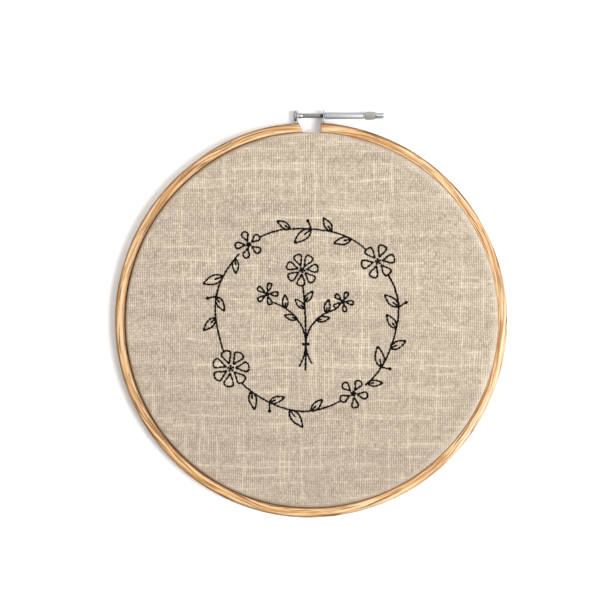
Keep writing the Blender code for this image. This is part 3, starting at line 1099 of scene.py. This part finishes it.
def bracket_mesh(side, inner_x, hole_radius):
    """Sheet metal: a foot on the hoop, a bend, an ear with a hole, and a prong into the wood.

    It is drawn round the middle of the hoop as the sheet's side towards the gap and the wood.
    """
    under = HOOP_RADIUS - FOOT_SINK + FOOT_LIFT
    axis = SCREW_AXIS - HOOP_MIDDLE
    ear_top = EAR_TOP - HOOP_MIDDLE.y
    bend_y = math.sqrt(under**2 - inner_x**2) + BEND_RADIUS
    bend_middle = (inner_x + side * BEND_RADIUS, bend_y)
    arc_start = math.pi if side > 0 else 0.0
    arc_end = arc_start + side * math.pi / 2 * 0.94
    bend = arc_points(bend_middle, BEND_RADIUS, arc_start, arc_end, 6)
    bend_end = math.atan2(bend[-1][1], bend[-1][0])
    far_end = math.acos(inner_x / under) - side * FOOT_LENGTH / HOOP_RADIUS
    foot = arc_points((0, 0), under, bend_end, far_end, 14)[1:]
    low_z, high_z = axis.z - EAR_WIDTH / 2, axis.z + EAR_WIDTH / 2
    foot_low, foot_high = axis.z - FOOT_WIDTH / 2, axis.z + FOOT_WIDTH / 2

    bm = bmesh.new()
    strip = [bm.verts.new((x, y, foot_low)) for x, y in bend + foot]
    edges = [bm.edges.new(pair) for pair in zip(strip, strip[1:])]
    made = bmesh.ops.extrude_edge_only(bm, edges=edges)["geom"]
    lifted = [v for v in made if isinstance(v, bmesh.types.BMVert)]
    bmesh.ops.translate(bm, vec=(0, 0, FOOT_WIDTH), verts=lifted)

    corner = EAR_CORNER
    outline = [(bend_y, foot_low), (bend_y, foot_high), (bend_y + EAR_FLARE, high_z)]
    outline += arc_points((ear_top - corner, high_z - corner), corner, math.pi / 2, 0.0, 10)
    outline += arc_points((ear_top - corner, low_z + corner), corner, 0.0, -math.pi / 2, 10)
    outline.append((bend_y + EAR_FLARE, low_z))
    rim = [bm.verts.new((inner_x, y, z)) for y, z in outline]
    hole_ring = arc_points((axis.y, axis.z), hole_radius, 0.0, math.tau, 40)[:-1]
    hole = [bm.verts.new((inner_x, y, z)) for y, z in hole_ring]
    loops = []
    for ring in (rim, hole):
        loops += [bm.edges.new((ring[i - 1], ring[i])) for i in range(len(ring))]
    bmesh.ops.bridge_loops(bm, edges=loops)

    half, tip = PRONG_WIDTH / 2, under - PRONG_DEPTH
    prong = [
        bm.verts.new((r * math.cos(far_end), r * math.sin(far_end), axis.z + z))
        for r, z in ((under, -half), (tip, -half), (tip, half), (under, half))
    ]
    bm.faces.new(prong)

    bmesh.ops.remove_doubles(bm, verts=bm.verts, dist=0.001 * MM)
    bmesh.ops.recalc_face_normals(bm, faces=bm.faces)
    return bm


def screw_mesh(right_face_x, thread_pitch):
    """Domed head, tapered neck, a plain core and a real thread, drawn along the screw's axis."""
    head_left = SCREW_LOW.x
    head_right = head_left + HEAD_THICKNESS
    head_radius = (SCREW_HIGH.z - SCREW_LOW.z) / 2
    rise = HEAD_THICKNESS - HEAD_RIM
    dome = [
        (head_left + rise * (1 - math.cos(a)), head_radius * math.sin(a))
        for a in [math.pi / 2 * i / 14 for i in range(15)]
    ]
    edge = 0.16 * MM
    rim = [(head_right - edge, head_radius), (head_right, head_radius - edge)]
    neck_end = head_right + NECK_LENGTH
    thread_start = neck_end + NECK_TAPER
    taper = [
        (neck_end + NECK_TAPER * t, NECK_RADIUS + (SHANK_RADIUS - NECK_RADIUS) * t * t * (3 - 2 * t))
        for t in [i / 8 for i in range(9)]
    ]
    fillet = arc_points(
        (head_right + 0.35 * MM, NECK_RADIUS + 0.35 * MM), 0.35 * MM, math.pi, math.pi * 1.5, 5
    )
    tail = [
        (SCREW_HIGH.x - 0.5 * MM, SHANK_RADIUS),
        (SCREW_HIGH.x, SHANK_RADIUS - 0.5 * MM),
        (SCREW_HIGH.x, 0.0),
    ]
    core = turned(dome + rim + fillet + taper + tail)
    core = saw(
        core,
        (head_left - MM, -head_radius * 2, -SLOT_WIDTH / 2),
        (head_left + HEAD_SLOT_DEPTH, head_radius * 2, SLOT_WIDTH / 2),
    )

    length = right_face_x + 2 * MM - thread_start
    turns = int(length / thread_pitch)
    root = SHANK_RADIUS - 0.1 * MM
    half = thread_pitch * 0.44
    flat = thread_pitch * 0.07
    profile = [(-half, root), (-flat, CREST_RADIUS), (flat, CREST_RADIUS), (half, root)]
    thread = spin(
        [(thread_start - NECK_TAPER * 0.25 + x, r) for x, r in profile],
        lambda x, r: (x, r, 0),
        (1, 0, 0),
        turns * 20,
        turns * math.tau,
        closed=True,
        advance=turns * thread_pitch,
    )
    close_holes(thread)
    return join(core, thread)


def nut_mesh():
    """Long nut along the screw's axis: barrel, collar, thumb grip with two flats, slotted tip."""
    left = NUT_LOW.x
    chamfer = 0.25 * MM
    barrel = turned([
        (left + BORE_DEPTH, 0.0),
        (left + BORE_DEPTH, BORE_RADIUS),
        (left + chamfer, BORE_RADIUS),
        (left, BORE_RADIUS + chamfer),
        (left, BARREL_RADIUS - chamfer),
        (left + chamfer * 0.3, BARREL_RADIUS - chamfer * 0.3),
        (left + chamfer, BARREL_RADIUS),
        (left + BARREL_LENGTH - chamfer, BARREL_RADIUS),
        (left + BARREL_LENGTH - chamfer * 0.3, BARREL_RADIUS - chamfer * 0.3),
        (left + BARREL_LENGTH, BARREL_RADIUS - chamfer),
        (left + BARREL_LENGTH, 0.0),
    ])

    collar_start = left + COLLAR_START - 0.2 * MM
    grip_start = left + GRIP_START
    collar = turned([
        (collar_start, 0.0),
        (collar_start, 1.62 * MM),
        (collar_start + 0.5 * MM, 1.62 * MM),
        (collar_start + 0.65 * MM, 1.95 * MM),
        (collar_start + 0.95 * MM, 1.95 * MM),
        (collar_start + 1.1 * MM, 1.62 * MM),
        (grip_start + 0.2 * MM, 1.62 * MM),
        (grip_start + 0.2 * MM, 0.0),
    ])

    bulge = [
        (0.0, 1.7), (0.15, 2.2), (0.5, 2.5), (1.2, 2.66), (2.2, 2.75), (3.4, 2.76),
        (4.6, 2.68), (5.7, 2.5), (6.7, 2.24), (7.5, 1.98), (8.0, 1.9),
    ]
    grip_points = [(grip_start, 0.0)]
    grip_points += [(grip_start + x * MM, r * MM) for x, r in bulge]
    grip_points += [(grip_start + GRIP_LENGTH, 0.0)]
    grip = turned(grip_points)
    for side in (1, -1):
        normal = Vector((0, -math.sin(GRIP_FLAT_TILT), math.cos(GRIP_FLAT_TILT))) * side
        bmesh.ops.bisect_plane(
            grip,
            geom=grip.verts[:] + grip.edges[:] + grip.faces[:],
            plane_co=normal * GRIP_FLAT_FROM_AXIS,
            plane_no=normal,
            clear_outer=True,
        )
        close_holes(grip)
    flat_edges = [e for e in grip.edges if len(e.link_faces) == 2 and e.calc_face_angle() > 0.3]
    soften(grip, flat_edges, 0.08 * MM, 2)

    tip_start = grip_start + GRIP_LENGTH - 0.2 * MM
    tip_end = NUT_HIGH.x
    tip = turned([
        (tip_start, 0.0),
        (tip_start, TIP_RADIUS),
        (tip_end - 0.3 * MM, TIP_RADIUS),
        (tip_end - 0.08 * MM, TIP_RADIUS - 0.1 * MM),
        (tip_end, TIP_RADIUS - 0.28 * MM),
        (tip_end, 0.0),
    ])
    tip = saw(
        tip,
        (tip_end - TIP_SLOT_DEPTH, -SLOT_WIDTH / 2, -TIP_RADIUS * 2),
        (tip_end + MM, SLOT_WIDTH / 2, TIP_RADIUS * 2),
    )
    turn = Matrix.Rotation(GRIP_FLAT_TILT, 3, "X")
    bmesh.ops.rotate(tip, matrix=turn, verts=tip.verts)
    return join(barrel, collar, grip, tip)


def colour_setting(name, description, default):
    """A colour in the sidebar."""
    return FloatVectorProperty(
        name=name, description=description, subtype="COLOR", default=default, min=0, max=1
    )


def length_setting(name, description, default, low, high):
    """A length in the sidebar."""
    return FloatProperty(
        name=name, description=description, subtype="DISTANCE", default=default, min=low, max=high
    )


class HoopWood(bpy.types.PropertyGroup):
    """Colours of the wooden rings."""

    wood_grain: colour_setting("Grain", "Colour of the darkest grain bands", (0.30, 0.12, 0.025))
    wood_mid: colour_setting("Mid wood", "Colour of the tan bands", (0.45, 0.225, 0.06))
    wood_light: colour_setting("Light wood", "Colour of the broad light bands", (0.56, 0.335, 0.14))
    wood_salmon: colour_setting("Salmon wood", "Colour of the pinkish bands", (0.62, 0.40, 0.20))
    wood_pale: colour_setting("Pale wood", "Colour of the palest bands", (0.65, 0.48, 0.29))
    wood_dark: colour_setting(
        "Dark streaks", "Colour of the long dark streaks", (0.13, 0.045, 0.008)
    )


class HoopCloth(bpy.types.PropertyGroup):
    """Size and colours of the cloth."""

    thickness: length_setting(
        "Thickness", "Thickness of the cloth", 0.6 * MM, 0.2 * MM, 1.0 * MM
    )
    warp_pitch: length_setting(
        "Warp pitch", "Distance between upright yarns", 1.35 * MM, 0.3 * MM, 3 * MM
    )
    weft_pitch: length_setting(
        "Weft pitch", "Distance between crossing yarns", 1.85 * MM, 0.3 * MM, 3 * MM
    )
    weave_contrast: FloatProperty(
        name="Weave contrast", description="How dark the gaps between the yarns look",
        default=0.85, min=0, max=2,
    )
    linen_light: colour_setting("Light yarn", "Colour of the palest yarn", (0.572, 0.478, 0.373))
    linen_dark: colour_setting("Dark yarn", "Colour between the yarns", (0.215, 0.168, 0.121))
    # Painted sheen: the paler cloth over the hoop's right side.
    linen_painted_sheen: colour_setting(
        "Painted cloth sheen", "Paler cloth where it is stretched over the hoop", (0.72, 0.64, 0.545)
    )
    # Painted shade: the brown on the cloth beside the wood, as from light bounced off it.
    linen_bounce_shade: colour_setting(
        "Bounced cloth shade", "Brown that the wood leaves on the cloth beside it", (0.27, 0.145, 0.06)
    )


class HoopStitches(bpy.types.PropertyGroup):
    """Size and colours of the stitched wreath."""

    thread_width: length_setting(
        "Thread width", "Width of a stitch", 1.15 * MM, 0.3 * MM, 3 * MM
    )
    stitch_length: length_setting(
        "Stitch length", "Length of a stitch", 2.7 * MM, 1 * MM, 8 * MM
    )
    wreath_radius: length_setting(
        "Wreath radius", "Radius of the stem ring", 59 * MM, 20 * MM, 85 * MM
    )
    sprigs: IntProperty(
        name="Sprigs", description="How many places on the stem may hold a leaf",
        default=27, min=6, max=60,
    )
    thread_colour: colour_setting("Thread", "Colour on top of each ply", (0.006, 0.0055, 0.0055))
    thread_shade: colour_setting("Thread shade", "Colour between the plies", (0.002, 0.002, 0.002))


class HoopHardware(bpy.types.PropertyGroup):
    """Thread and colours of the metal pieces."""

    thread_pitch: length_setting(
        "Thread pitch", "Pitch of the screw's thread", 1.0 * MM, 0.3 * MM, 1.5 * MM
    )
    zinc_cool: colour_setting("Cool zinc", "Bluish zinc plate", (0.45, 0.475, 0.52))
    zinc_warm: colour_setting("Warm zinc", "Yellowish zinc plate", (0.48, 0.48, 0.465))
    zinc_worn: colour_setting("Worn zinc", "Warm grey of the worn flats", (0.27, 0.25, 0.205))
    zinc_dull: colour_setting("Dull zinc", "Dull specks in the plate", (0.19, 0.195, 0.20))
    # Painted shade on the screw and the nut: under the head and shank, beside the right plate, in
    # the thread and where the flats end.
    zinc_painted_shade: colour_setting(
        "Painted zinc shade", "Dark in the thread and where flats end", (0.03, 0.028, 0.026)
    )


class HoopStage(bpy.types.PropertyGroup):
    """Light round the hoop."""

    key_power: FloatProperty(
        name="Key light", description="Power of the soft light on the right", unit="POWER",
        default=43.5, min=0, max=500,
    )
    top_power: FloatProperty(
        name="Top light", description="Power of the broad light above the screw", unit="POWER",
        default=0.95, min=0, max=500,
    )
    sky: FloatProperty(
        name="Fill light", description="Strength of the even light from all round",
        default=0.485, min=0, max=5,
    )


class HOOP_OT_rings(bpy.types.Operator):
    """Make the outer and the inner wooden hoop"""

    bl_idname = "hoop.rings"
    bl_label = "Wooden hoops"

    def execute(self, context):
        wood = context.scene.hoop_wood
        rings = (
            ("outer_hoop", outer_hoop_mesh(), "outer_ring", HOOP_RADIUS, OUTER_THICKNESS, 0.0),
            ("inner_hoop", inner_hoop_mesh(), "inner_ring", INNER_RADIUS, INNER_THICKNESS, 40.0),
        )
        for name, bm, node, outer, thickness, seed in rings:
            finish = wood_finish(name + "_wood", wood, outer - thickness, outer, seed)
            piece = to_piece(bm, name, finish, HOOP_MIDDLE)
            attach(piece, "hoop")
            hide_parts(node)
        return {"FINISHED"}


class HOOP_OT_cloth(bpy.types.Operator):
    """Make the taut cloth and the stitched wreath on it"""

    bl_idname = "hoop.cloth"
    bl_label = "Embroidered cloth"

    def execute(self, context):
        cloth, stitches = context.scene.hoop_cloth, context.scene.hoop_stitches
        linen = to_piece(cloth_mesh(), "linen_cloth", linen_finish(cloth), HOOP_MIDDLE, 60.0)
        layer = linen.modifiers.new("thickness", "SOLIDIFY")
        layer.thickness = cloth.thickness
        layer.offset = -1.0
        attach(linen, "hoop")
        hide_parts("cloth")

        wreath = to_piece(
            embroidery_mesh(stitches),
            "stitched_wreath",
            thread_finish(stitches),
            HOOP_MIDDLE,
            60.0,
        )
        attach(wreath, "hoop")
        return {"FINISHED"}


class HOOP_OT_brackets(bpy.types.Operator):
    """Make the two sheet metal brackets"""

    bl_idname = "hoop.brackets"
    bl_label = "Brackets"

    def execute(self, context):
        hardware = context.scene.hoop_hardware
        zinc = zinc_finish("bracket_zinc", hardware, SHEET_BRUSHING, dull=0.4)
        rows = (
            ("left", -1, LEFT_EAR_HIGH.x, NECK_RADIUS + HOLE_GAP),
            ("right", 1, RIGHT_EAR_LOW.x, CREST_RADIUS + HOLE_GAP),
        )
        for label, side, inner_x, hole_radius in rows:
            bm = bracket_mesh(side, inner_x, hole_radius)
            piece = to_piece(bm, "plate_" + label, zinc, HOOP_MIDDLE, turn_out=False)
            sheet = piece.modifiers.new("sheet", "SOLIDIFY")
            sheet.thickness = PLATE_THICKNESS
            sheet.offset = 1.0
            edge = piece.modifiers.new("edge", "BEVEL")
            edge.width = 0.1 * MM
            edge.segments = 2
            edge.limit_method = "ANGLE"
            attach(piece, "hoop")
            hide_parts("bracket_" + label)
        return {"FINISHED"}


class HOOP_OT_screw(bpy.types.Operator):
    """Make the tension screw with its thread"""

    bl_idname = "hoop.screw"
    bl_label = "Tension screw"

    def execute(self, context):
        hardware = context.scene.hoop_hardware
        thread_start = SCREW_LOW.x + HEAD_THICKNESS + NECK_LENGTH + NECK_TAPER * 0.8
        shank = (thread_start, SCREW_HIGH.x)
        finish = zinc_finish("screw_zinc", hardware, TURNED_BRUSHING, shank=shank)
        bm = screw_mesh(RIGHT_EAR_LOW.x, hardware.thread_pitch)
        piece = to_piece(bm, "screw", finish, SCREW_AXIS)
        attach(piece, "hoop")
        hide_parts("tension_screw")
        return {"FINISHED"}


class HOOP_OT_nut(bpy.types.Operator):
    """Make the long tension nut"""

    bl_idname = "hoop.nut"
    bl_label = "Tension nut"

    def execute(self, context):
        hardware = context.scene.hoop_hardware
        start = NUT_LOW.x + GRIP_START
        grip = (start, start + GRIP_LENGTH)
        finish = zinc_finish(
            "nut_zinc", hardware, TURNED_BRUSHING, dull=0.15, rough=0.48, grip=grip
        )
        piece = to_piece(nut_mesh(), "long_nut", finish, SCREW_AXIS, 30.0)
        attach(piece, "nut")
        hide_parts("tension_nut")
        return {"FINISHED"}


class HOOP_OT_stage(bpy.types.Operator):
    """Make the white floor, the lamps, the even light and the camera above the hoop"""

    bl_idname = "hoop.stage"
    bl_label = "Stage"

    def execute(self, context):
        scene = context.scene
        stage = scene.hoop_stage
        scene.view_settings.view_transform = "Standard"

        floor_finish = Finish("floor_white")
        floor_finish.set(Base_Color=(0.93, 0.93, 0.93, 1.0), Roughness=0.9)
        bm = bmesh.new()
        bmesh.ops.create_grid(bm, x_segments=1, y_segments=1, size=3.0)
        floor = to_piece(bm, "floor", floor_finish.material, turn_out=False)

        world = bpy.data.worlds.new("studio")
        world.use_nodes = True
        sky = Nodes(world.node_tree)
        x, y, z = sky.parts(sky.node("ShaderNodeTexCoord"))
        # Brighter on the left, and dimmer low down in front
        front = y.between(-0.95, -0.3, 1.0, 0.0) * z.between(0.1, 0.75, 1.0, 0.0)
        glow = (x * -0.75 + y * 0.2 + 1) * (1 - front * 0.6) * stage.sky
        sky.feed(sky.tree.nodes["Background"].inputs["Strength"], glow)
        sky.tree.nodes["Background"].inputs["Color"].default_value = (1, 1, 1, 1)
        scene.world = world

        lamps = (
            ("key", stage.key_power, 1.05, 1.8, -18, 53),
            ("top", stage.top_power, 0.5, 0.55, 90, 55),
        )
        for name, power, size, distance, azimuth, elevation in lamps:
            light = bpy.data.lights.new(name, "AREA")
            light.energy = power
            light.shape = "SQUARE"
            light.size = size
            rise = math.radians(elevation)
            away = Vector((math.cos(rise), 0, math.sin(rise)))
            away.rotate(Matrix.Rotation(math.radians(azimuth), 3, "Z"))
            lamp = bpy.data.objects.new(name, light)
            lamp.visible_camera = False
            lamp.location = HOOP_MIDDLE + away * distance
            lamp.rotation_euler = (-away).to_track_quat("-Z", "Y").to_euler()
            scene.collection.objects.link(lamp)

        lens = bpy.data.cameras.new("camera")
        lens.lens = LENS
        lens.sensor_width = SENSOR
        camera = bpy.data.objects.new("camera", lens)
        pixel = HOOP_RADIUS / HOOP_RADIUS_PIXELS
        height = pixel * PHOTO_SIDE * LENS / SENSOR
        camera.location = HOOP_MIDDLE + Vector((
            (PHOTO_SIDE / 2 - HOOP_MIDDLE_PIXEL[0]) * pixel,
            (HOOP_MIDDLE_PIXEL[1] - PHOTO_SIDE / 2) * pixel,
            RING_TOP - WOOD_ROUNDING + height,
        ))
        scene.collection.objects.link(camera)
        scene.camera = camera
        return {"FINISHED"}


class HOOP_PT_sidebar(bpy.types.Panel):
    """Sizes, colours and steps of the hoop"""

    bl_idname = "HOOP_PT_sidebar"
    bl_label = "Embroidery hoop"
    bl_space_type = "VIEW_3D"
    bl_region_type = "UI"
    bl_category = "Hoop"

    def draw(self, context):
        for settings, steps in STEPS:
            box = self.layout.box()
            for owner, label in settings:
                group = getattr(context.scene, owner)
                box.label(text=label)
                for name in group.__annotations__:
                    box.prop(group, name)
            for step in steps:
                box.operator(step)


GROUPS = (
    ("hoop_wood", HoopWood),
    ("hoop_cloth", HoopCloth),
    ("hoop_stitches", HoopStitches),
    ("hoop_hardware", HoopHardware),
    ("hoop_stage", HoopStage),
)
STEPS = (
    ((("hoop_wood", "Wood"),), ("hoop.rings",)),
    ((("hoop_cloth", "Cloth"), ("hoop_stitches", "Stitches")), ("hoop.cloth",)),
    ((("hoop_hardware", "Hardware"),), ("hoop.brackets", "hoop.screw", "hoop.nut")),
    ((("hoop_stage", "Stage"),), ("hoop.stage",)),
)
OPERATORS = (
    HOOP_OT_rings,
    HOOP_OT_cloth,
    HOOP_OT_brackets,
    HOOP_OT_screw,
    HOOP_OT_nut,
    HOOP_OT_stage,
)


def register():
    for name, group in GROUPS:
        bpy.utils.register_class(group)
        setattr(bpy.types.Scene, name, PointerProperty(type=group))
    for thing in (*OPERATORS, HOOP_PT_sidebar):
        bpy.utils.register_class(thing)


def unregister():
    for thing in reversed((*OPERATORS, HOOP_PT_sidebar)):
        bpy.utils.unregister_class(thing)
    for name, group in reversed(GROUPS):
        delattr(bpy.types.Scene, name)
        bpy.utils.unregister_class(group)


def main():
    register()
    for operator in ("rings", "cloth", "brackets", "screw", "nut", "stage"):
        getattr(bpy.ops.hoop, operator)()


if __name__ == "__main__":
    main()
